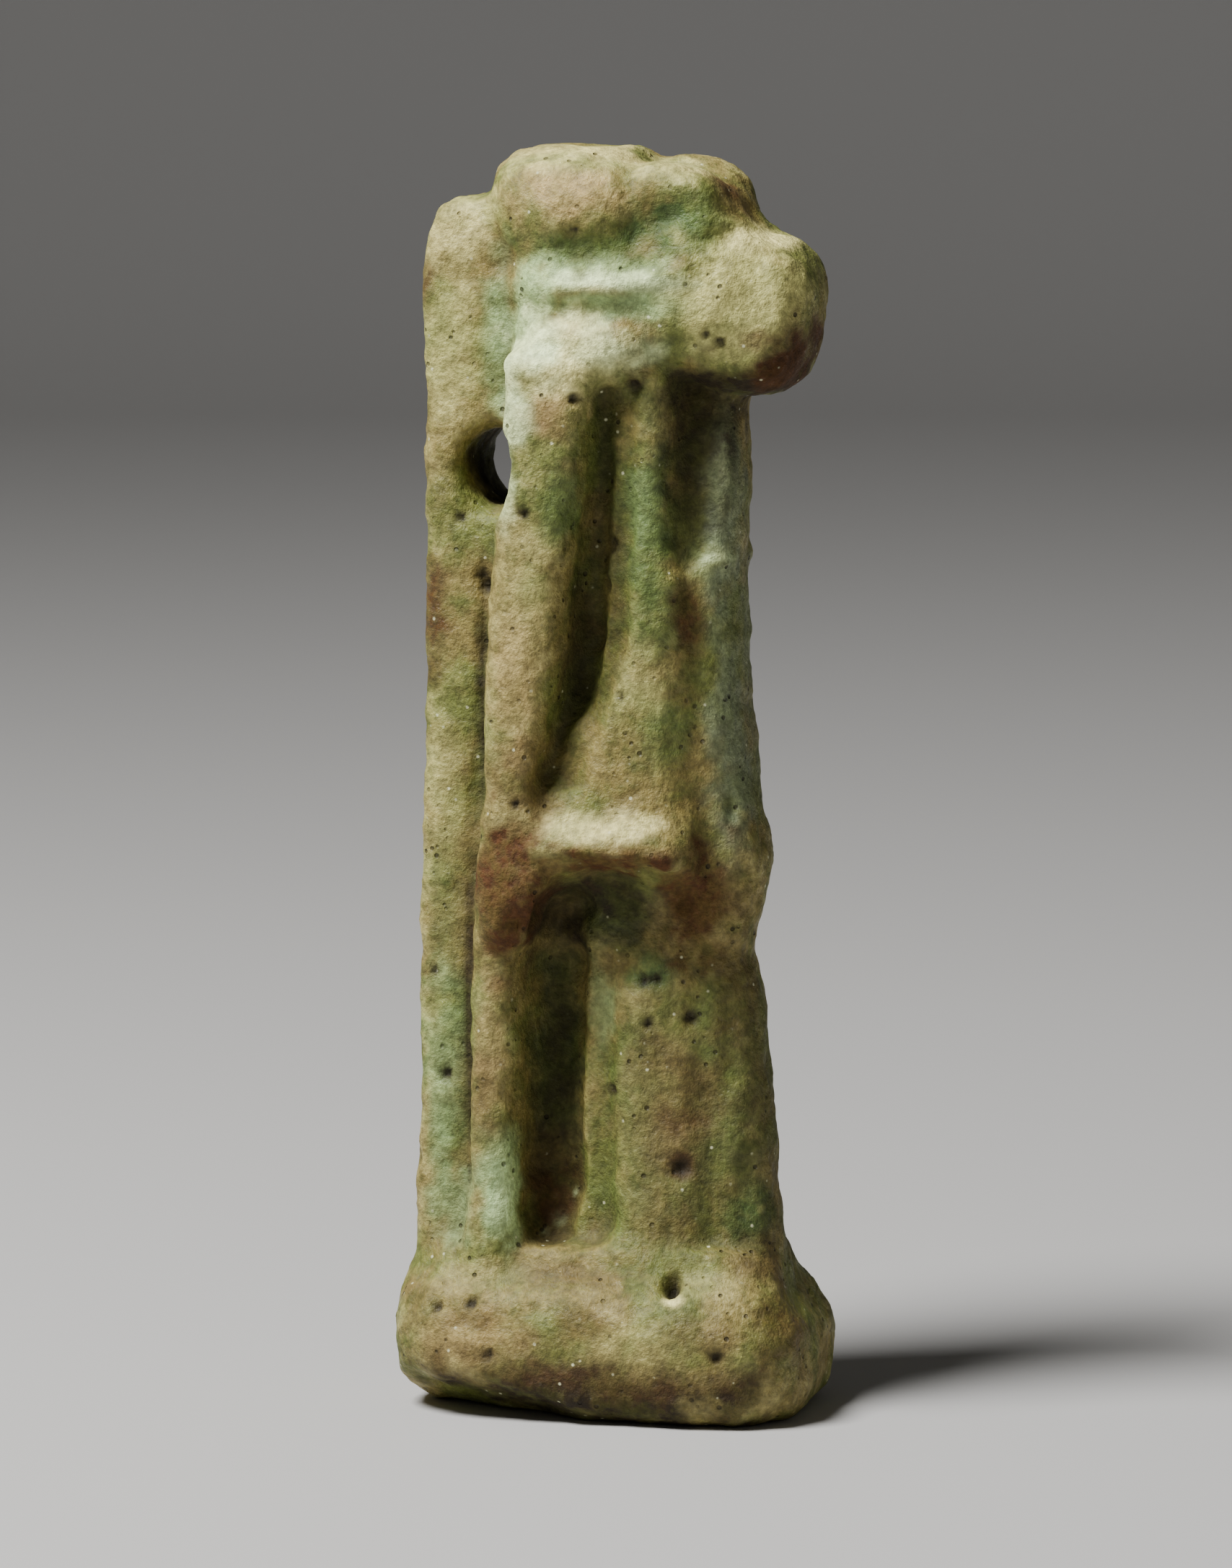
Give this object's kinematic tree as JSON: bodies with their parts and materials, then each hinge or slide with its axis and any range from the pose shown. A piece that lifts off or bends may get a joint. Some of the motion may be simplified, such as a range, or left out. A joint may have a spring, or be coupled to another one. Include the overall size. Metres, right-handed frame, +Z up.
{
  "type": "faience amulet",
  "caption": "Small pierced amulet: an animal-headed figure striding in front of a back pillar, moulded in one with its plinth, in worn olive-green glaze.",
  "frame": {"origin": "middle of the plinth's underside", "axes": "+Z up from the plinth to the crown of the head, +X the way the figure faces, its right side at -Y"},
  "size_m": [0.012, 0.0082, 0.0355],
  "materials": {
    "faience": "matte, worn and pitted olive-green glaze with brown stains"
  },
  "bodies": {
    "root": {"amulet": "faience"}
  },
  "joints": []
}
